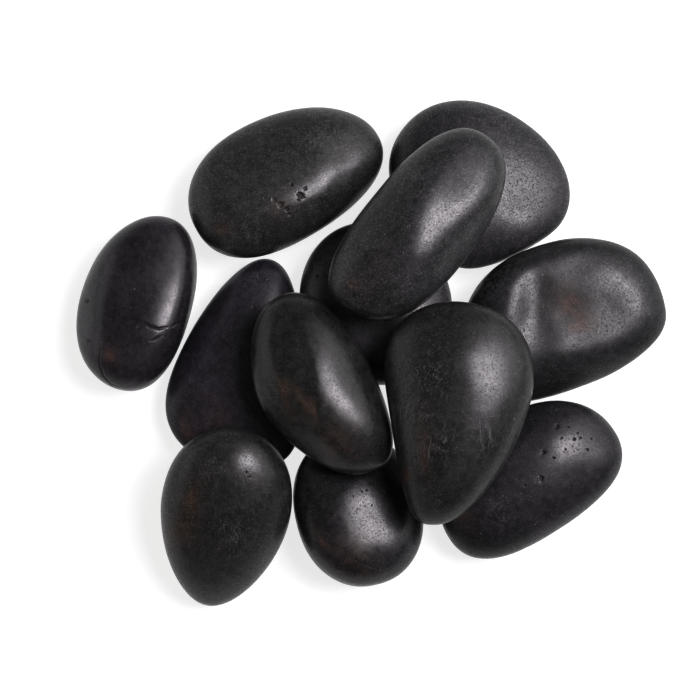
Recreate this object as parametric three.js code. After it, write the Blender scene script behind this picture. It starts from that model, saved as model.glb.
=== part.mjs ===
// A heap of twelve polished basalt massage stones: nine lie on the table and three lie on top of those.
// Millimetres, +Z up. The origin is on the table, under the middle of the heap.
import * as THREE from "three";
import { mergeVertices } from "three/addons/utils/BufferGeometryUtils.js";

const SUBDIVISIONS = 5; // of the icosahedron that each stone is shaped from
const WEAR = 0.5; // how far the lowest point of a stone on the table is worn flat
const BEND_PIVOT = 0.4; // squared share of the half length where a bowed stone keeps its place

const BASALT = { color: 0x2b2a2c, roughness: 0.42, metalness: 0 };

// size: length, width and thickness. at: where the middle is, on the table unless a height is given.
// heading: the way the length points, counterclockwise from +X. nose: how far that end is raised.
// roll: the turn about the length, which raises the left side.
// plan and section: powers of the superelliptic outlines seen from above and from the side, 2 for an ellipse.
// egg and wedge: how much wider and thicker the stone gets towards its far end. bow: its sideways bend.
// swells: bulges, or hollows when negative, each [azimuth, elevation, spread, share of the radius].
// Angles are in degrees, and azimuths are counted from the stone's own heading.
const STONES = {
  back_left_stone: {
    size: [71, 44.5, 30], at: [-29.2, 60], heading: 28, nose: -4, roll: -7,
    plan: 2.2, section: 2.2, egg: -0.1, wedge: 0, bow: -0.09, swells: [[0, 90, 45, -0.05]],
  },
  left_stone: {
    size: [61.5, 39.5, 28], at: [-79.1, 17.8], heading: 74, nose: 0, roll: -7,
    plan: 2.1, section: 2.4, egg: -0.07, wedge: 0, bow: -0.14,
    swells: [[92, 35, 30, -0.08], [250, 0, 40, -0.04], [262, 42, 28, 0.06]],
  },
  inner_left_stone: {
    size: [72.5, 42, 19.5], at: [-44.2, -1.6], heading: 74, nose: 0, roll: 0,
    plan: 2.2, section: 2.1, egg: -0.32, wedge: 0.3, bow: 0, swells: [[236, 0, 26, 0.18]],
  },
  back_right_stone: {
    size: [66, 54, 25], at: [37.2, 58.4], heading: -39, nose: 0, roll: -2,
    plan: 2.15, section: 2.1, egg: 0.04, wedge: -0.25, bow: -0.02,
    swells: [[-22, 0, 36, -0.17], [0, 90, 50, -0.04], [-72, 0, 18, 0.08]],
  },
  core_stone: {
    size: [57.5, 51.5, 24], at: [1.6, 17.8], heading: 115, nose: 0, roll: 0,
    plan: 2, section: 2.2, egg: 0, wedge: 0, bow: 0, swells: [],
  },
  right_stone: {
    size: [71, 51, 29], at: [65.2, 11], heading: 18, nose: 0, roll: 11,
    plan: 2.4, section: 2.4, egg: -0.03, wedge: 0, bow: -0.2,
    swells: [[60, 80, 46, -0.26], [45, 0, 22, 0.05], [-50, 0, 25, -0.07]],
  },
  front_left_stone: {
    size: [64.5, 43.5, 29], at: [-49.5, -55.4], heading: 79, nose: 23, roll: 7,
    plan: 1.95, section: 2.1, egg: 0.18, wedge: 0, bow: 0.02, swells: [],
  },
  front_stone: {
    size: [53, 44, 24], at: [-4.4, -52.5], heading: 104, nose: -4, roll: 14,
    plan: 2.15, section: 2.2, egg: 0, wedge: -0.35, bow: 0, swells: [],
  },
  front_right_stone: {
    size: [67, 42.5, 26.5], at: [53.1, -42.4], heading: 34, nose: 4, roll: 2,
    plan: 2.25, section: 2.2, egg: 0.03, wedge: 0, bow: -0.15, swells: [],
  },
  upper_back_stone: {
    size: [73.5, 37.5, 29], at: [16.6, 41, 37.8], heading: 52, nose: 0, roll: 0,
    plan: 2.4, section: 2.1, egg: -0.03, wedge: 0, bow: 0.03, swells: [[150, 0, 30, 0.08]],
  },
  upper_left_stone: {
    size: [66, 36.5, 27], at: [-16.8, -11.9, 30], heading: 119, nose: 2.5, roll: 3,
    plan: 2.15, section: 2.1, egg: 0.04, wedge: 0, bow: -0.1, swells: [[95, 38, 24, -0.07], [88, 0, 25, 0.13], [206, 0, 26, 0.055]],
  },
  upper_right_stone: {
    size: [74, 44.5, 29], at: [27.4, -22, 36.1], heading: 81, nose: 8, roll: -3,
    plan: 2.2, section: 2.1, egg: 0.33, wedge: 0, bow: 0.08, swells: [[68, 0, 25, 0.11], [150, 0, 24, 0.06]],
  },
};

const radians = THREE.MathUtils.degToRad;

function directionAt(azimuth, elevation) {
  const level = Math.cos(radians(elevation));
  return new THREE.Vector3(
    level * Math.cos(radians(azimuth)),
    level * Math.sin(radians(azimuth)),
    Math.sin(radians(elevation)),
  );
}

// A ball with shared corners: every corner gets moved once, so the skin stays closed.
function unitBall() {
  const ball = new THREE.IcosahedronGeometry(1, SUBDIVISIONS);
  ball.deleteAttribute("normal");
  ball.deleteAttribute("uv");
  return mergeVertices(ball);
}

// How far the skin of a stone of unit half sizes is from its middle, along a direction.
function reachAlong(way, { plan, section, swells }) {
  const level = (Math.abs(way.x) ** plan + Math.abs(way.y) ** plan) ** (1 / plan);
  let reach = (level ** section + Math.abs(way.z) ** section) ** (-1 / section);
  for (const [azimuth, elevation, spread, share] of swells) {
    const away = way.angleTo(directionAt(azimuth, elevation)) / radians(spread);
    reach *= 1 + share * Math.exp(-(away ** 2));
  }
  return reach;
}

function stoneGeometry(stone) {
  const [length, width, thickness] = stone.size;
  const geometry = unitBall();
  const corners = geometry.getAttribute("position");
  const corner = new THREE.Vector3();
  for (let i = 0; i < corners.count; i += 1) {
    corner.fromBufferAttribute(corners, i).normalize();
    corner.multiplyScalar(reachAlong(corner, stone));
    corner.y = corner.y * (1 + stone.egg * corner.x) + stone.bow * (corner.x ** 2 - BEND_PIVOT);
    corner.z *= 1 + stone.wedge * corner.x;
    corners.setXYZ(i, corner.x * length / 2, corner.y * width / 2, corner.z * thickness / 2);
  }
  return geometry;
}

// Lays the mesh on the table and wears its lowest part flat there, so that it rests on a small level face.
function layOnTable(mesh) {
  mesh.updateMatrixWorld();
  const lowest = new THREE.Box3().setFromObject(mesh, true).min.z;
  mesh.position.z = -lowest - WEAR;
  mesh.updateMatrixWorld();
  const corners = mesh.geometry.getAttribute("position");
  const corner = new THREE.Vector3();
  for (let i = 0; i < corners.count; i += 1) {
    mesh.localToWorld(corner.fromBufferAttribute(corners, i));
    corner.z = Math.max(corner.z, 0);
    mesh.worldToLocal(corner);
    corners.setXYZ(i, corner.x, corner.y, corner.z);
  }
}

function makeStone(name, stone) {
  const mesh = new THREE.Mesh(stoneGeometry(stone), new THREE.MeshStandardMaterial(BASALT));
  const [x, y, height] = stone.at;
  mesh.name = name;
  mesh.rotation.set(radians(stone.roll), radians(-stone.nose), radians(stone.heading), "ZYX");
  mesh.position.set(x, y, height ?? 0);
  if (height === undefined) {
    layOnTable(mesh);
  }
  return mesh;
}

const heap = new THREE.Group();
for (const [name, stone] of Object.entries(STONES)) {
  heap.add(makeStone(name, stone));
}
const middle = new THREE.Box3().setFromObject(heap, true).getCenter(new THREE.Vector3());
heap.position.set(-middle.x, -middle.y, 0);

export default heap;
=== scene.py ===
"""Looks for a heap of twelve polished basalt massage stones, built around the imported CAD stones."""

import itertools
import math

import bmesh
import bpy
import numpy as np
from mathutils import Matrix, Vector


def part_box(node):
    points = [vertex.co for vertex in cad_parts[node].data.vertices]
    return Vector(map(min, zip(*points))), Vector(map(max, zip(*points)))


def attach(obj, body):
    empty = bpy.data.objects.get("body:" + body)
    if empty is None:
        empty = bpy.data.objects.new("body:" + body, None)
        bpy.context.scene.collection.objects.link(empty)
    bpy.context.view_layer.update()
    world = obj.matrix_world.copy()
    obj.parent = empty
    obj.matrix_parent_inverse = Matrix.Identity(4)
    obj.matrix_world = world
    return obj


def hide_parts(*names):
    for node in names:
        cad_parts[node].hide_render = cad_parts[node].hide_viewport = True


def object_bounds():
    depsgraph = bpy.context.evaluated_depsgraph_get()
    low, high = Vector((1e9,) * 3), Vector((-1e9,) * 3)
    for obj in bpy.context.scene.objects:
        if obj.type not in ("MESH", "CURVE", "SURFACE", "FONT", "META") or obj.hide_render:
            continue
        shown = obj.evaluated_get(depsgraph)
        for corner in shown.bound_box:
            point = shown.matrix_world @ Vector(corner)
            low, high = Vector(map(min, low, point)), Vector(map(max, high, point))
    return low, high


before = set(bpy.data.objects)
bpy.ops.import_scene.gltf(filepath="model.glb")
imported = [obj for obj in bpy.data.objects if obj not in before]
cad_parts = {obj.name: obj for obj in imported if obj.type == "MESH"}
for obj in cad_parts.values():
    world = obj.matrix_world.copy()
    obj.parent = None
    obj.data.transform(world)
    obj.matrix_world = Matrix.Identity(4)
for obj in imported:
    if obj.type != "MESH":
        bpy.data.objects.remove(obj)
cad_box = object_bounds()

MM = 0.001

# The view
CAMERA_ELEVATION = 84
CAMERA_DISTANCE = 0.76
CAMERA_LENS = 115
CAMERA_SENSOR = 36
AIM_RIGHT = -0.007
AIM_HEIGHT = 0.014
DISPLAY_GAMMA = 0.72

# The stones' meshes
BALL_SUBDIVISIONS = 7
FINER_ROUNDS = 2  # how often the skin is divided again around small marks
BALL_CORNERS_PER_BATCH = 8192
TABLE_HEIGHT = 0.0
TOP_SIDE = 0.15  # a small mark only cuts where the skin faces up at least this much
TOP_FADE = 2  # how fast wide marks fade in from the outline to the top side
MARK_MARGIN = 1.3  # the skin is divided more finely out to this many radii around a small mark
MARK_RIM = 0.5 * MM  # and this much further

# Small marks
PIT_RADIUS_SCALE = 0.75
PIT_DEPTH_SCALE = 0.8
CRACK_END = 0.02  # the share of a crack's length, at each end, where it stops narrowing
CRACK_TIP = 0.35  # a crack's width at its ends, as a share of its width in the middle
CRACK_FADE = 0.6  # the power that a crack fades out with towards its ends

# Ragged edges and lumps are waves of noise. Edges: [share of the radius, width]. Lumps: [width, depth].
PIT_EDGE = ((0.35, 0.9 * MM), (0.15, 0.4 * MM))
PATCH_EDGE = ((0.5, 3 * MM), (0.25, 1.2 * MM))
CRACK_WANDER = (0.25 * MM, 1.6 * MM)  # how far a crack wanders sideways, and the width of its bends
LUMPS = ((24 * MM, 0.24 * MM), (11 * MM, 0.12 * MM), (4.5 * MM, 0.05 * MM), (1.8 * MM, 0.02 * MM))

# Random numbers: each kind of noise starts from its own number
PIT_SEED = 50
CRACK_SEED = 52
PATCH_SEED = 60
RUST_AND_GLINT_SEED = 5
LUMP_SEED_STEP = 7
FIELD_STEP = 17.31  # how far apart the noise fields of two seeds are, in widths
HASH_FACTORS = np.array((374761393, 668265263, 2147483647))
HASH_SEED_FACTOR = 974634777
HASH_LAST_FACTOR = 1274126177
HASH_MASK = 0xFFFFFF
HASH_HALF = 0x7FFFFF

# The inputs and the output of Blender's colour mix node
MIX_SHARE = 0
MIX_FIRST = 6
MIX_SECOND = 7
MIX_RESULT = 2

# How many noise cells or crystals there are to a metre
CLOUD_SCALE = 70
PATCHY_SCALE = 300
MOTTLE_SCALE = 420
CRYSTAL_SCALE = 1300
SPECK_SCALE = 1700
SCRATCH_SCALE = 3400
DUST_SCALE = 3600
SCRATCH_STRETCH = (1, 0.045, 0.3)
SCRATCH_TILT = (0.3, 0.2)
SCRATCH_TURNS = (0.5, 1.9)

# Basalt: how bright its ground and its pale crystals are, the colours of what lies on it, the painted shade
# in its holes, and the warm colour of rust and of a painted lamp reflection
DARK_GROUND = 0.013
PALE_GROUND = 0.036
PALE_CRYSTAL = 0.105
PORE_COLOUR = (0.006, 0.006, 0.006, 1)
FLECK_COLOUR = (0.22, 0.21, 0.20, 1)
SCUFF_COLOUR = (0.14, 0.14, 0.142, 1)
RUBBED_COLOUR = (0.13, 0.13, 0.13, 1)
# warm brown of rust stains, also used to paint a warm lamp's reflection
RUST_AND_GLINT_COLOUR = (0.11, 0.056, 0.036, 1)
# painted shade: the dark colour that pits and cracks are darkened towards
HOLLOW_SHADE_COLOUR = (0.010, 0.0085, 0.0075, 1)
BASALT_IOR = 1.52
BUMP_STRENGTH = 0.5
BUMP_DISTANCE = 0.032 * MM

# The studio
TABLE_HALF_SIDE = 4.0
TABLE_SQUARES = 8
TABLE_DROP = 0.2 * MM  # keeps the glowing table clear of the stones' flat undersides
TABLE_GREY = (0.3, 0.3, 0.3, 1)
TABLE_ROUGHNESS = 0.8
TABLE_GLOW = 0.8
HORIZON_GLOW = 1.0
OVERHEAD_GLOW = 0.2
OVERHEAD_FROM = 0.3  # the sine of the angle above the horizon where the room is at its dimmest


# ---------------------------------------------------------------- what each stone looks like
# tone: how bright the basalt is, partly the stone's own colour and partly painted light that brightens or
# dims a whole stone. tint: how far it leans to red, green and blue. gloss: its roughness.
# grain: how strong the crystals and pores are.
# Places are shares of the stone's box seen from above, from its middle: (-1, -1) is the front left corner
# and (1, 1) the back right.
# Sizes are in millimetres, angles in degrees. A kind of mark that a stone lacks is left out.
# facets: [azimuth, elevation, depth, softness] of a flat rubbed onto the skin
# dents: [place, azimuth, length, width, depth, lean] of wide hollows, deeper at one end when they lean
# leans: [place, radius, azimuth, degrees] of soft areas of the top that tilt a little
# pits: [place, radius, depth] of small sharp holes
# cracks: [width, depth, place, place, ...]
# scuffs: [place, radius] of patches where the polish is scratched pale
# rust and glint: [place, radius, strength] of warm brown patches: rust stains, and on upper_right_stone a
# painted reflection of the warm lamp
STONES = {
    "back_left_stone": {
        # painted light: the high tone paints a broad soft sheen over this stone
        "slot": "black_basalt", "seed": 1, "tone": 1.45,
        "tint": (0.0, 0.0, 0.0), "grain": 1.0, "gloss": 0.31,
        "facets": [[118, 62, 0.5, 1.6], [300, 42, 0.6, 1.4]],
        "dents": [[(0.7, -0.2), 0, 8, 8, 0.35, 0]],
        "leans": [[(0.26, -0.14), 12, 70, 8], [(0.5, 0.2), 8, 40, 8]],
        "pits": [
            [(-0.1, -0.33), 1.1, 0.5], [(-0.04, -0.38), 1.2, 0.6], [(0.02, -0.44), 1.1, 0.6],
            [(0.05, -0.5), 0.8, 0.4], [(0.16, -0.26), 1.4, 0.6], [(0.14, -0.32), 0.7, 0.4],
            [(0.07, -0.12), 0.7, 0.4], [(0.21, -0.17), 0.7, 0.3], [(0.82, 0.02), 0.8, 0.3],
            [(0.69, -0.15), 0.9, 0.3], [(-0.2, -0.3), 0.5, 0.2],
        ],
        "scuffs": [[(0.38, 0.55), 5], [(-0.55, 0.19), 0.8], [(-0.3, -0.75), 3]],
        "rust_and_glint": [[(-0.04, -0.38), 3, 0.3]],
    },
    "left_stone": {
        "slot": "black_basalt", "seed": 2, "tone": 1.0,
        "tint": (0.12, 0.0, 0.22), "grain": 0.6, "gloss": 0.27,
        "facets": [[178, 38, 1.1, 0.8], [40, 78, 0.5, 1.6]],
        "pits": [[(-0.76, 0.0), 1.0, 0.3], [(-0.72, -0.46), 1.0, 0.3], [(0.05, 0.1), 0.5, 0.2]],
        "cracks": [
            [0.45, 0.45, (0.09, -0.32), (0.22, -0.29), (0.31, -0.32), (0.43, -0.34), (0.56, -0.32)],
            [0.35, 0.3, (0.27, -0.48), (0.38, -0.45), (0.48, -0.41)],
            [0.4, 0.35, (0.61, -0.32), (0.72, -0.27), (0.83, -0.23)],
            [0.35, 0.3, (-0.51, -0.5), (-0.55, -0.68), (-0.5, -0.84), (-0.38, -0.93), (-0.2, -0.97)],
        ],
    },
    "inner_left_stone": {
        "slot": "blue_black_basalt", "seed": 3, "tone": 1.2,
        "tint": (0.08, 0.0, 0.3), "grain": 0.5, "gloss": 0.33,
        "facets": [[155, 48, 0.6, 1.5]],
        "pits": [[(0.3, 0.5), 0.6, 0.25], [(0.5, 0.76), 0.5, 0.2]],
        "scuffs": [[(0.59, 0.69), 0.9], [(0.3, 0.8), 2.5], [(-0.6, -0.2), 1.2]],
        "rust_and_glint": [[(-0.2, -0.55), 6, 0.25]],
    },
    "back_right_stone": {
        "slot": "grey_basalt", "seed": 4, "tone": 1.3,
        "tint": (0.04, 0.0, 0.1), "grain": 1.2, "gloss": 0.36,
        "leans": [[(0.48, -0.33), 10, 91, 9]],
        "pits": [[(0.25, 0.72), 0.9, 0.3]],
        "scuffs": [[(0.25, 0.69), 4], [(0.45, 0.35), 5], [(0.75, 0.0), 3]],
    },
    "core_stone": {
        # painted light: the high tone brightens this stone as if lit, though the stones above shade it
        "slot": "black_basalt", "seed": 5, "tone": 1.6,
        "tint": (0.06, 0.0, 0.12), "grain": 0.7, "gloss": 0.33,
        "pits": [[(-0.75, 0.3), 0.7, 0.3], [(0.2, -0.75), 0.6, 0.25]],
        "scuffs": [[(-0.6, 0.45), 5]],
    },
    "right_stone": {
        "slot": "grey_basalt", "seed": 6, "tone": 0.9,
        "tint": (0.03, 0.0, 0.08), "grain": 1.1, "gloss": 0.35,
        "facets": [[285, 40, 1.0, 1.2]],
        "dents": [[(0.1, 0.2), 190, 24, 15, 0.7, 0.6]],
        "leans": [
            [(-0.42, 0.36), 6.5, 0, 14], [(-0.44, 0.02), 6.5, 0, 14], [(0.15, 0.1), 15, 200, 6],
            [(0.6, 0.15), 10, 190, 9], [(-0.18, -0.31), 8, 200, 7], [(0.1, 0.8), 8, 280, 9],
        ],
        "pits": [
            [(-0.74, 0.46), 1.3, 0.35], [(-0.8, 0.3), 1.0, 0.3], [(-0.66, 0.6), 0.9, 0.3],
            [(-0.7, 0.35), 0.7, 0.25], [(-0.86, 0.42), 0.9, 0.3],
        ],
        "scuffs": [[(-0.74, 0.46), 6], [(-0.6, 0.7), 5]],
        "rust_and_glint": [[(0.14, -0.04), 4, 0.8], [(0.04, 0.12), 4, 0.7], [(-0.06, 0.28), 4, 0.3]],
    },
    "front_left_stone": {
        "slot": "black_basalt", "seed": 7, "tone": 0.95,
        "tint": (0.02, 0.0, 0.0), "grain": 1.1, "gloss": 0.3,
        "leans": [[(0.32, 0.46), 8, 300, 3]],
        "pits": [[(0.33, 0.47), 0.7, 0.12], [(0.38, 0.42), 0.5, 0.1], [(-0.2, 0.6), 0.6, 0.08]],
        "scuffs": [[(0.35, 0.45), 2.2], [(0.2, -0.2), 5], [(-0.15, 0.55), 3]],
        "rust_and_glint": [[(-0.67, -0.17), 5, 0.5]],
    },
    "front_stone": {
        "slot": "black_basalt", "seed": 8, "tone": 0.85,
        "tint": (0.05, 0.0, 0.1), "grain": 1.0, "gloss": 0.29,
        "leans": [[(0.06, 0.02), 14, -66, 12], [(0.25, -0.49), 8, -80, 7]],
        "pits": [
            [(0.05, 0.21), 0.45, 0.15], [(0.13, 0.23), 0.45, 0.15], [(0.38, 0.2), 0.45, 0.2],
            [(-0.08, 0.15), 0.35, 0.12], [(0.2, 0.04), 0.35, 0.12],
        ],
        "rust_and_glint": [[(-0.05, -0.55), 6, 0.3]],
    },
    "front_right_stone": {
        "slot": "black_basalt", "seed": 9, "tone": 0.8,
        "tint": (0.08, 0.0, 0.16), "grain": 1.0, "gloss": 0.32,
        "leans": [[(0.4, 0.5), 11, -38, 6], [(0.46, 0.15), 9, -60, 8]],
        "pits": [
            [(0.25, 0.64), 0.9, 0.5], [(0.44, 0.48), 0.6, 0.4], [(0.51, 0.5), 0.45, 0.35],
            [(0.1, 0.31), 0.8, 0.5], [(0.21, 0.24), 0.5, 0.35], [(0.38, 0.64), 0.5, 0.35],
            [(0.59, 0.35), 0.55, 0.4], [(0.08, -0.01), 1.0, 0.45], [(0.63, 0.49), 0.45, 0.3],
            [(0.34, 0.35), 0.4, 0.3], [(0.48, 0.56), 0.35, 0.3], [(0.3, 0.5), 0.35, 0.25],
            [(-0.1, -0.1), 0.5, 0.3],
        ],
        "scuffs": [[(0.08, -0.05), 2.5], [(-0.4, -0.4), 5]],
    },
    "upper_back_stone": {
        "slot": "black_basalt", "seed": 10, "tone": 1.35,
        "tint": (0.02, 0.0, 0.05), "grain": 1.2, "gloss": 0.3,
        "facets": [[322, 34, 0.7, 0.9], [142, 50, 0.5, 1.6], [14, 77, 0.4, 1.0]],
        "leans": [[(0.15, 0.4), 12, 20, 7], [(0.22, -0.28), 10, 10, 6]],
        "pits": [[(-0.72, -0.78), 0.9, 0.4], [(-0.66, -0.86), 0.6, 0.3], [(-0.05, -0.7), 0.7, 0.25]],
        "scuffs": [[(-0.7, -0.8), 2.5], [(-0.1, -0.7), 3], [(-0.1, 0.35), 4]],
    },
    "upper_left_stone": {
        "slot": "black_basalt", "seed": 11, "tone": 1.0,
        "tint": (0.0, 0.0, 0.0), "grain": 0.6, "gloss": 0.29,
        "facets": [[240, 40, 1.0, 0.5]],
        "dents": [[(-0.36, 0.1), 100, 20, 5.5, 0.7, 0]],
        "leans": [[(0.25, -0.05), 12, 25, 8]],
        "pits": [[(0.35, 0.5), 0.5, 0.2]],
        "scuffs": [[(-0.72, -0.15), 3]],
        "rust_and_glint": [[(0.2, -0.65), 6, 0.3]],
    },
    "upper_right_stone": {
        "slot": "black_basalt", "seed": 12, "tone": 0.95,
        "tint": (0.0, 0.0, 0.02), "grain": 0.9, "gloss": 0.32,
        "leans": [[(0.32, 0.44), 12, -10, 6]],
        "pits": [[(-0.5, 0.35), 0.5, 0.2], [(-0.35, -0.3), 0.5, 0.2]],
        "scuffs": [[(-0.63, 0.0), 6], [(-0.45, 0.3), 6], [(-0.3, -0.35), 6], [(0.3, -0.2), 5]],
        # painted reflection: two small warm spots paint a warm lamp's glint as a streak on the lower left
        "rust_and_glint": [[(-0.7, -0.52), 1.3, 1.0], [(-0.7, -0.58), 1.3, 1.0]],
    },
}
UNMARKED = dict.fromkeys(("facets", "dents", "leans", "pits", "cracks", "scuffs", "rust_and_glint"), ())


# ---------------------------------------------------------------- smooth noise
def lattice_value(cell, seed):
    """A fixed random number between -1 and 1 for each whole-numbered cell."""
    mixed = (cell * HASH_FACTORS).sum(axis=-1) + seed * HASH_SEED_FACTOR
    mixed = (mixed ^ (mixed >> 13)) * HASH_LAST_FACTOR
    mixed = (mixed ^ (mixed >> 16)) & HASH_MASK
    return mixed / HASH_HALF - 1.0


def smooth_noise(points, width, seed):
    """A smooth random field between -1 and 1 whose lumps are about one width across."""
    place = points / width + seed * FIELD_STEP
    corner = np.floor(place).astype(np.int64)
    part = place - corner
    part = part ** 3 * (part * (part * 6 - 15) + 10)  # level at both ends of a cell
    total = np.zeros(len(points))
    for step in itertools.product((0, 1), repeat=3):
        share = np.prod(np.where(step, part, 1 - part), axis=1)
        total += share * lattice_value(corner + np.array(step), seed)
    return total


def ragged_edge(points, waves, seed):
    """Factors near 1 that make the edge of a round mark ragged."""
    edge = np.ones(len(points))
    for index, (share, width) in enumerate(waves):
        edge += share * smooth_noise(points, width, seed + index)
    return edge


# ---------------------------------------------------------------- the smooth skin of a CAD stone
def cad_corners(node):
    """The corners of a CAD node, each once."""
    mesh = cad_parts[node].data
    corners = np.empty(len(mesh.vertices) * 3)
    mesh.vertices.foreach_get("co", corners)
    return np.unique(corners.reshape(-1, 3).round(6), axis=0)


class Skin:
    """The smooth closed skin that passes through a CAD stone's corners."""

    def __init__(self, corners):
        self.centre = (corners.min(axis=0) + corners.max(axis=0)) / 2
        spread = corners - self.centre
        self.axes = np.linalg.svd(spread, full_matrices=False)[2]
        self.axes[2] = np.cross(self.axes[0], self.axes[1])
        along = spread @ self.axes.T
        self.half = np.abs(along).max(axis=0)
        unit = along / self.half
        reach = np.linalg.norm(unit, axis=1)
        self.ways = unit / reach[:, None]
        count = len(reach)
        plain = np.hstack([np.ones((count, 1)), self.ways])
        system = np.zeros((count + 4, count + 4))
        system[:count, :count] = self.bend(self.ways)
        system[:count, count:] = plain
        system[count:, :count] = plain.T
        self.weights = np.linalg.solve(system, np.concatenate([reach, np.zeros(4)]))

    def bend(self, ways):
        """The cubed distances between directions, whose weighted sum makes the smoothest skin."""
        squares = np.maximum(2 - 2 * ways @ self.ways.T, 0)
        return squares * np.sqrt(squares)

    def points(self, ways):
        """Where the skin is along each direction of a unit ball."""
        found = []
        for batch in np.array_split(ways, math.ceil(len(ways) / BALL_CORNERS_PER_BATCH)):
            plain = np.hstack([np.ones((len(batch), 1)), batch])
            reach = np.hstack([self.bend(batch), plain]) @ self.weights
            found.append(batch * reach[:, None])
        return self.centre + np.vstack(found) * self.half @ self.axes


def ball_arrays(ball):
    """The corners of a bmesh, pushed out onto a unit ball, and its triangles, as arrays."""
    ball.verts.index_update()
    corners = np.array([corner.co[:] for corner in ball.verts])
    faces = np.array([[corner.index for corner in face.verts] for face in ball.faces])
    return corners / np.linalg.norm(corners, axis=1)[:, None], faces


def outward(points, faces):
    """The unit normal at each corner."""
    a, b, c = (points[faces[:, k]] for k in range(3))
    face_normals = np.cross(b - a, c - a)
    normals = np.zeros_like(points)
    for k in range(3):
        np.add.at(normals, faces[:, k], face_normals)
    return normals / np.linalg.norm(normals, axis=1)[:, None]


# ---------------------------------------------------------------- what wear and nature did to the skin
def place_on(node, share):
    """A place given as shares of the node's box seen from above, in metres."""
    low, high = (np.array(corner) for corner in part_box(node))
    return ((low + high) / 2 + (high - low) / 2 * np.array([share[0], share[1], 0]))[:2]


def heading(azimuth, elevation):
    """The unit vector that points along an azimuth from +X and an elevation, in degrees."""
    turn = math.radians(azimuth)
    lift = math.radians(elevation)
    return np.array([math.cos(lift) * math.cos(turn), math.cos(lift) * math.sin(turn), math.sin(lift)])


def top_share(normals):
    """1 where the skin faces up, falling to 0 at the outline seen from above and 0 below it."""
    return np.clip(normals[:, 2] * TOP_FADE, 0, 1)


def rub_facet(points, centre, facet):
    """Flattens the part of the skin that reaches furthest along a direction, with soft edges."""
    azimuth, elevation, depth, softness = facet
    way = heading(azimuth, elevation)
    reach = (points - centre) @ way
    over = (reach - (reach.max() - depth * MM)) / (softness * MM)
    cut = np.logaddexp(0, over) * softness * MM
    return points - way * cut[:, None]


def away_from(points, centre):
    """Distances from a place, seen from above."""
    return np.linalg.norm(points[:, :2] - centre, axis=1)


def away_from_line(points, places):
    """Distances from a line through several places, seen from above.

    Also returns how far along the line its nearest bit is, as a share of the line.
    """
    nearest = np.full(len(points), np.inf)
    share = np.zeros(len(points))
    for index, (start, end) in enumerate(zip(places, places[1:])):
        run = end - start
        along = np.clip(((points[:, :2] - start) @ run) / (run @ run), 0, 1)
        gap = np.linalg.norm(points[:, :2] - start - along[:, None] * run, axis=1)
        closer = gap < nearest
        nearest[closer] = gap[closer]
        share[closer] = (index + along[closer]) / (len(places) - 1)
    return nearest, share


def marks_of(node, look):
    """Every small mark on a stone as (kind, places, radius, depth), in metres."""
    marks = []
    for place, radius, depth in look["pits"]:
        size = (radius * PIT_RADIUS_SCALE * MM, depth * PIT_DEPTH_SCALE * MM)
        marks.append(("pit", [place_on(node, place)], *size))
    for width, depth, *places in look["cracks"]:
        marks.append(("crack", [place_on(node, place) for place in places], width * MM, depth * MM))
    return marks


def near_marks(points, up, marks):
    """Which corners lie on the top side close to a small mark."""
    near = np.zeros(len(points), dtype=bool)
    for kind, places, radius, _ in marks:
        if kind == "pit":
            gap = away_from(points, places[0])
        else:
            gap = away_from_line(points, places)[0]
        near |= gap < radius * MARK_MARGIN + MARK_RIM
    return near & (up > TOP_SIDE)


def pit_shape(points, place, radius, ragged):
    """How deep in a pit each corner lies, from 0 to 1."""
    share = away_from(points, place) / radius * ragged
    return np.exp(-(share ** 4))


def crack_shape(points, places, radius, wander):
    """How deep in a crack each corner lies, from 0 to 1. It gets thin and shallow towards its ends."""
    gap, along = away_from_line(points, places)
    thin = np.sin(np.pi * np.clip(along, CRACK_END, 1 - CRACK_END)) ** CRACK_FADE
    width = radius * (CRACK_TIP + (1 - CRACK_TIP) * thin)
    return np.exp(-(((gap + wander) / width) ** 2)) * thin


def cut_marks(points, normals, marks, seed):
    """Cuts pits and cracks into the skin. Returns the points and how much of a hole each corner lies in."""
    sink = np.zeros(len(points))
    hollow = np.zeros(len(points))
    ragged = ragged_edge(points, PIT_EDGE, seed + PIT_SEED)
    sideways, bend_width = CRACK_WANDER
    wander = sideways * smooth_noise(points, bend_width, seed + CRACK_SEED)
    for kind, places, radius, depth in marks:
        if kind == "pit":
            shape = pit_shape(points, places[0], radius, ragged)
        else:
            shape = crack_shape(points, places, radius, wander)
        shape = np.where(normals[:, 2] > TOP_SIDE, shape, 0)
        sink = np.maximum(sink, depth * shape)
        hollow = np.maximum(hollow, shape)
    return points - normals * sink[:, None], hollow


def sink_dents(points, normals, node, dents):
    """Presses wide hollows into the top side, each with its own length and width."""
    sink = np.zeros(len(points))
    for place, azimuth, length, width, depth, lean in dents:
        along = heading(azimuth, 0)[:2]
        across = heading(azimuth + 90, 0)[:2]
        offset = points[:, :2] - place_on(node, place)
        far = (offset @ along) / (length * MM)
        wide = (offset @ across) / (width * MM)
        floor = np.exp(-((far ** 2 + wide ** 2) ** 3)) * (1 + lean * np.clip(far, -1, 1))
        sink += floor * depth * MM
    sink *= top_share(normals)
    return points - normals * sink[:, None]


def lean_skin(points, normals, node, leans):
    """Leans parts of the top side a few degrees towards an azimuth, as hand-polished stones do."""
    for place, radius, azimuth, degrees in leans:
        centre = place_on(node, place)
        toward = (points[:, :2] - centre) @ heading(azimuth, 0)[:2]
        fade = np.exp(-((away_from(points, centre) / (radius * MM)) ** 2)) * top_share(normals)
        points = points - normals * (toward * fade * math.tan(math.radians(degrees)))[:, None]
    return points


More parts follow.
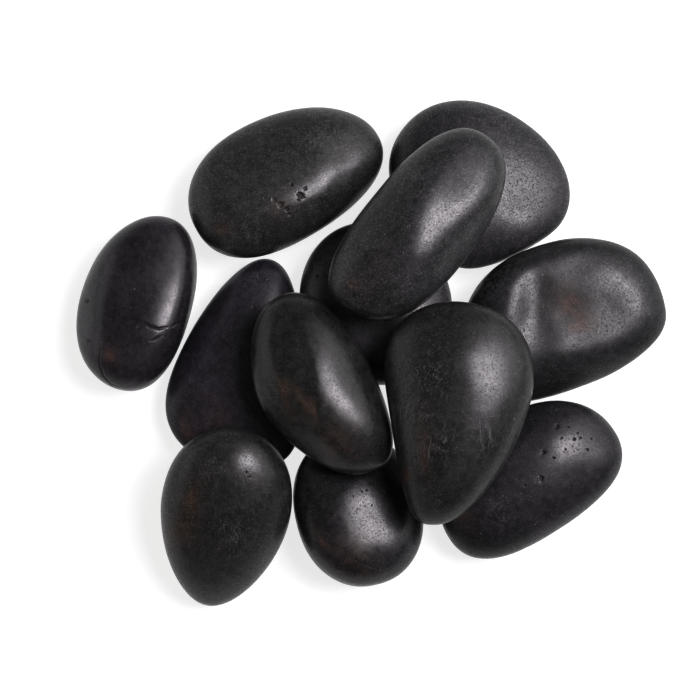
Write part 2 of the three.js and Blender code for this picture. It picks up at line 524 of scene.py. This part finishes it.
def wear_uneven(points, normals, seed):
    """Takes soft lumps of several widths off the skin, and never adds to it."""
    off = np.zeros(len(points))
    for index, (width, depth) in enumerate(LUMPS):
        off += depth * (0.5 + 0.5 * smooth_noise(points, width, seed * LUMP_SEED_STEP + index))
    return points - normals * off[:, None]


def patch_mask(points, node, patches, seed):
    """How strongly each corner lies in one of several ragged patches: [place, radius] or with a strength."""
    mask = np.zeros(len(points))
    ragged = ragged_edge(points, PATCH_EDGE, seed + PATCH_SEED)
    for place, radius, *strength in patches:
        share = away_from(points, place_on(node, place)) / (radius * MM) * ragged
        mask = np.maximum(mask, np.exp(-(share ** 2)) * (strength[0] if strength else 1.0))
    return mask


# ---------------------------------------------------------------- stones
def divided_ball(skin, marks):
    """A unit ball, divided more finely where the stone has small marks."""
    ball = bmesh.new()
    bmesh.ops.create_icosphere(ball, subdivisions=BALL_SUBDIVISIONS, radius=1.0)
    for _ in range(FINER_ROUNDS):
        ways, faces = ball_arrays(ball)
        points = skin.points(ways)
        near = near_marks(points, outward(points, faces)[:, 2], marks)
        edges = [edge for edge in ball.edges if near[edge.verts[0].index] and near[edge.verts[1].index]]
        if not edges:
            break
        bmesh.ops.subdivide_edges(ball, edges=edges, cuts=1, use_grid_fill=True)
        bmesh.ops.triangulate(ball, faces=ball.faces)
    ways, faces = ball_arrays(ball)
    ball.free()
    return ways, faces


def add_mask(mesh, name, values):
    """Stores one number per corner for the material to read."""
    layer = mesh.attributes.new(name, "FLOAT", "POINT")
    layer.data.foreach_set("value", values.astype(np.float32))


def make_stone(node, look):
    """The detailed stone that stands for a CAD node."""
    seed = look["seed"]
    skin = Skin(cad_corners(node))
    marks = marks_of(node, look)
    ways, faces = divided_ball(skin, marks)
    points = skin.points(ways)
    for facet in look["facets"]:
        points = rub_facet(points, skin.centre, facet)
    normals = outward(points, faces)
    points = sink_dents(points, normals, node, look["dents"])
    points = lean_skin(points, normals, node, look["leans"])
    points = wear_uneven(points, normals, seed)
    normals = outward(points, faces)
    points, hollow = cut_marks(points, normals, marks, seed)
    points[:, 2] = np.maximum(points[:, 2], TABLE_HEIGHT)

    mesh = bpy.data.meshes.new("polished_" + node)
    mesh.from_pydata(points.tolist(), [], faces.tolist())
    mesh.shade_smooth()
    add_mask(mesh, "hollow", hollow)
    add_mask(mesh, "scuff", patch_mask(points, node, look["scuffs"], seed))
    # warm patches: rust stains, and a painted lamp reflection on upper_right_stone
    add_mask(mesh, "rust_and_glint", patch_mask(points, node, look["rust_and_glint"], seed + RUST_AND_GLINT_SEED))
    mesh.materials.append(basalt_material(node, look))

    stone = bpy.data.objects.new("polished_" + node, mesh)
    bpy.context.collection.objects.link(stone)
    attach(stone, node)
    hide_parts(node)


# ---------------------------------------------------------------- basalt
class Nodes:
    """Short words for building the node tree of a material or a world."""

    def __init__(self, owner):
        owner.use_nodes = True
        self.tree = owner.node_tree
        self.tree.nodes.clear()

    def add(self, kind, inputs=None, **settings):
        """A new node with these settings, its inputs linked to sockets or set to constants."""
        node = self.tree.nodes.new(kind)
        for name, value in settings.items():
            setattr(node, name, value)
        for name, value in (inputs or {}).items():
            self.feed(node.inputs[name], value)
        return node

    def feed(self, socket, value):
        if isinstance(value, bpy.types.NodeSocket):
            self.tree.links.new(value, socket)
        else:
            socket.default_value = value

    def math(self, operation, first, second, clamp=False):
        node = self.add("ShaderNodeMath", {0: first, 1: second}, operation=operation, use_clamp=clamp)
        return node.outputs[0]

    def plus(self, first, second, clamp=False):
        return self.math("ADD", first, second, clamp)

    def times(self, first, second, clamp=False):
        return self.math("MULTIPLY", first, second, clamp)

    def noise(self, place, scale, detail, roughness=0.5):
        inputs = {"Vector": place, "Scale": scale, "Detail": detail, "Roughness": roughness}
        return self.add("ShaderNodeTexNoise", inputs).outputs["Fac"]

    def cells(self, place, scale):
        """How far a place is from the middle of its cell."""
        return self.add("ShaderNodeTexVoronoi", {"Vector": place, "Scale": scale}).outputs["Distance"]

    def band(self, value, low, high, out_low=0.0, out_high=1.0):
        """A soft step that takes low to out_low and high to out_high."""
        inputs = {"Value": value, "From Min": low, "From Max": high, "To Min": out_low, "To Max": out_high}
        return self.add("ShaderNodeMapRange", inputs, interpolation_type="SMOOTHSTEP").outputs["Result"]

    def mix(self, share, first, second):
        inputs = {MIX_SHARE: share, MIX_FIRST: first, MIX_SECOND: second}
        return self.add("ShaderNodeMix", inputs, data_type="RGBA").outputs[MIX_RESULT]

    def scratches(self, place, turn):
        """Fine scratches that mostly run one way."""
        inputs = {"Vector": place, "Scale": SCRATCH_STRETCH, "Rotation": (*SCRATCH_TILT, turn)}
        along = self.add("ShaderNodeMapping", inputs).outputs["Vector"]
        return self.band(self.noise(along, SCRATCH_SCALE, 1), 0.64, 0.72)

    def mask(self, name):
        return self.add("ShaderNodeAttribute", attribute_name=name).outputs["Fac"]


def tinted(level, look, share=1.0):
    """A grey of the given brightness, leaning to the stone's own tint."""
    return tuple(level * (1 + share * lean) for lean in look["tint"]) + (1,)


def own_place(n, seed):
    """Places in the stone, moved and turned so that each stone is cut from another part of the rock."""
    inputs = {
        "Vector": n.add("ShaderNodeTexCoord").outputs["Object"],
        "Location": (seed * 0.37, seed * 0.61, seed * 0.13),
        "Rotation": (seed * 0.9, seed * 1.7, seed * 0.4),
    }
    return n.add("ShaderNodeMapping", inputs).outputs["Vector"]


def basalt_patterns(n, look):
    """The noises that the colour, the roughness and the height share, by name."""
    place = own_place(n, look["seed"])
    pattern = {
        "cloud": n.noise(place, CLOUD_SCALE, 3, 0.6),
        "mottle": n.noise(place, MOTTLE_SCALE, 4, 0.65),
        "speck": n.noise(place, SPECK_SCALE, 2, 0.75),
        "dust": n.noise(place, DUST_SCALE, 1),
        "patchy": n.noise(place, PATCHY_SCALE, 1),
        "crystal": n.cells(place, CRYSTAL_SCALE),
        "rubbed": n.math("MAXIMUM", *(n.scratches(place, turn) for turn in SCRATCH_TURNS)),
        "hollow": n.mask("hollow"),
    }
    dull = n.times(n.band(n.plus(pattern["speck"], pattern["mottle"]), 0.95, 1.25), 0.4)
    pattern["scuff"] = n.times(n.mask("scuff"), n.math("MAXIMUM", dull, pattern["rubbed"]), clamp=True)
    # rust stains and a painted warm reflection, varied by the mottle
    pattern["rust_and_glint"] = n.times(n.mask("rust_and_glint"), n.band(pattern["mottle"], 0.35, 0.6, 0.35, 1.0))
    return pattern


def basalt_colour(n, pattern, look):
    """A dark cloudy ground with pale crystals, dark pores, white flecks, rubbed marks, rust and a painted
    warm reflection, with painted shade in pits and cracks and painted light in each stone's tone.
    """
    # The tone is partly painted light: a higher tone makes a whole stone look more lit, a lower one less.
    tone = look["tone"]
    grain = look["grain"]
    ground = n.plus(n.times(pattern["cloud"], 0.5), n.times(pattern["mottle"], 0.5))
    dark = tinted(DARK_GROUND * tone, look)
    pale = tinted(PALE_GROUND * tone, look)
    colour = n.mix(n.band(ground, 0.32, 0.68), dark, pale)
    lit = n.times(n.band(pattern["speck"], 0.54, 0.70), n.band(pattern["dust"], 0.40, 0.60, 0.4, 1.0))
    colour = n.mix(n.times(lit, 0.75 * grain, clamp=True), colour, tinted(PALE_CRYSTAL * tone, look, 0.5))
    colour = n.mix(n.times(n.band(pattern["speck"], 0.46, 0.34), 0.7), colour, PORE_COLOUR)
    fleck = n.band(pattern["crystal"], 0.22, 0.10)
    sparse = n.times(n.band(pattern["patchy"], 0.58, 0.68), grain)
    colour = n.mix(n.times(fleck, sparse), colour, FLECK_COLOUR)
    colour = n.mix(n.times(pattern["scuff"], 0.6), colour, SCUFF_COLOUR)
    colour = n.mix(n.times(pattern["rubbed"], 0.12), colour, RUBBED_COLOUR)
    # Warm brown patches: rust stains, and a painted warm reflection on upper_right_stone.
    colour = n.mix(n.times(pattern["rust_and_glint"], 0.7), colour, RUST_AND_GLINT_COLOUR)
    # Painted shade: pits and cracks are darkened.
    return n.mix(n.times(pattern["hollow"], 0.55), colour, HOLLOW_SHADE_COLOUR)


def basalt_roughness(n, pattern, look):
    """A satin polish, duller in pores, scuffs and holes."""
    rough = n.plus(n.band(pattern["mottle"], 0.3, 0.7, -0.03, 0.05), look["gloss"])
    rough = n.plus(rough, n.times(n.band(pattern["speck"], 0.5, 0.32), 0.22 * look["grain"]))
    rough = n.plus(rough, n.times(pattern["scuff"], 0.12))
    return n.plus(rough, n.times(pattern["hollow"], 0.3), clamp=True)


def basalt_bump(n, pattern, look):
    """The finest relief: a mottled skin with pores and scratches."""
    grain = look["grain"]
    height = n.plus(n.times(pattern["mottle"], 0.5), n.times(pattern["speck"], 0.5 * grain))
    height = n.math("SUBTRACT", height, n.times(n.band(pattern["speck"], 0.42, 0.28), 0.5 * grain))
    height = n.plus(height, n.times(pattern["rubbed"], 0.12))
    inputs = {"Height": height, "Strength": BUMP_STRENGTH, "Distance": BUMP_DISTANCE}
    return n.add("ShaderNodeBump", inputs).outputs["Normal"]


def basalt_material(node, look):
    """Polished basalt for one stone."""
    material = bpy.data.materials.new("basalt_" + node)
    n = Nodes(material)
    pattern = basalt_patterns(n, look)
    inputs = {
        "Base Color": basalt_colour(n, pattern, look),
        "Roughness": basalt_roughness(n, pattern, look),
        "Normal": basalt_bump(n, pattern, look),
        "IOR": BASALT_IOR,
    }
    shader = n.add("ShaderNodeBsdfPrincipled", inputs)
    n.add("ShaderNodeOutputMaterial", {"Surface": shader.outputs["BSDF"]})
    return material


# ---------------------------------------------------------------- table, light and camera
def table_material():
    """A white that glows faintly."""
    material = bpy.data.materials.new("white_table")
    n = Nodes(material)
    inputs = {
        "Base Color": TABLE_GREY,
        "Roughness": TABLE_ROUGHNESS,
        "Emission Color": (1, 1, 1, 1),
        "Emission Strength": TABLE_GLOW,
    }
    shader = n.add("ShaderNodeBsdfPrincipled", inputs)
    n.add("ShaderNodeOutputMaterial", {"Surface": shader.outputs["BSDF"]})
    return material


def make_table():
    """A wide glowing table, such as product photographers use."""
    table = bmesh.new()
    bmesh.ops.create_grid(table, x_segments=TABLE_SQUARES, y_segments=TABLE_SQUARES, size=TABLE_HALF_SIDE)
    mesh = bpy.data.meshes.new("light_table")
    table.to_mesh(mesh)
    table.free()
    mesh.materials.append(table_material())
    floor = bpy.data.objects.new("light_table", mesh)
    floor.location.z = -TABLE_DROP
    bpy.context.collection.objects.link(floor)


def make_softbox(name, azimuth, elevation, distance, size, power, colour):
    """A soft rectangular light that faces the heap."""
    light = bpy.data.lights.new(name, "AREA")
    light.shape = "RECTANGLE"
    light.size, light.size_y = size
    light.energy = power
    light.color = colour
    lamp = bpy.data.objects.new(name, light)
    way = Vector(heading(azimuth, elevation))
    lamp.location = heap_middle + way * distance
    lamp.rotation_euler = way.to_track_quat("Z", "Y").to_euler()
    bpy.context.collection.objects.link(lamp)


def make_studio():
    """A pale room, darker overhead, so that the stones' tops stay dark."""
    world = bpy.data.worlds.new("studio")
    n = Nodes(world)
    place = n.add("ShaderNodeTexCoord").outputs["Generated"]
    up = n.add("ShaderNodeSeparateXYZ", {"Vector": place}).outputs["Z"]
    inputs = {
        "Value": up,
        "From Min": 0.0,
        "From Max": OVERHEAD_FROM,
        "To Min": HORIZON_GLOW,
        "To Max": OVERHEAD_GLOW,
    }
    glow = n.add("ShaderNodeMapRange", inputs).outputs["Result"]
    background = n.add("ShaderNodeBackground", {"Strength": glow})
    n.add("ShaderNodeOutputWorld", {"Surface": background.outputs["Background"]})
    bpy.context.scene.world = world


def make_camera():
    """A camera nearly straight above the heap."""
    camera = bpy.data.objects.new("camera", bpy.data.cameras.new("camera"))
    camera.data.lens = CAMERA_LENS
    camera.data.sensor_width = CAMERA_SENSOR
    aim = Vector((heap_middle.x + AIM_RIGHT, heap_middle.y, AIM_HEIGHT))
    way = Vector(heading(-90, CAMERA_ELEVATION))
    camera.location = aim + way * CAMERA_DISTANCE
    camera.rotation_euler = way.to_track_quat("Z", "Y").to_euler()
    bpy.context.collection.objects.link(camera)
    bpy.context.scene.camera = camera


low, high = (Vector(corner) for corner in cad_box)
heap_middle = (low + high) / 2
bpy.context.scene.view_settings.view_transform = "Standard"
bpy.context.scene.view_settings.gamma = DISPLAY_GAMMA

make_camera()
make_table()
make_studio()
make_softbox("key_softbox", 10, 62, 0.95, (0.42, 0.42), 9.5, (1.0, 0.955, 0.995))
make_softbox("side_panel", 25, 35, 1.2, (1.3, 0.9), 7.0, (1.0, 0.985, 1.0))
make_softbox("left_panel", 172, 20, 1.1, (1.2, 0.5), 2.2, (1.0, 1.0, 1.0))
make_softbox("warm_lamp", 210, 40, 0.9, (0.05, 0.05), 0.3, (1.0, 0.5, 0.27))

for stone_node, stone_look in STONES.items():
    make_stone(stone_node, {**UNMARKED, **stone_look})
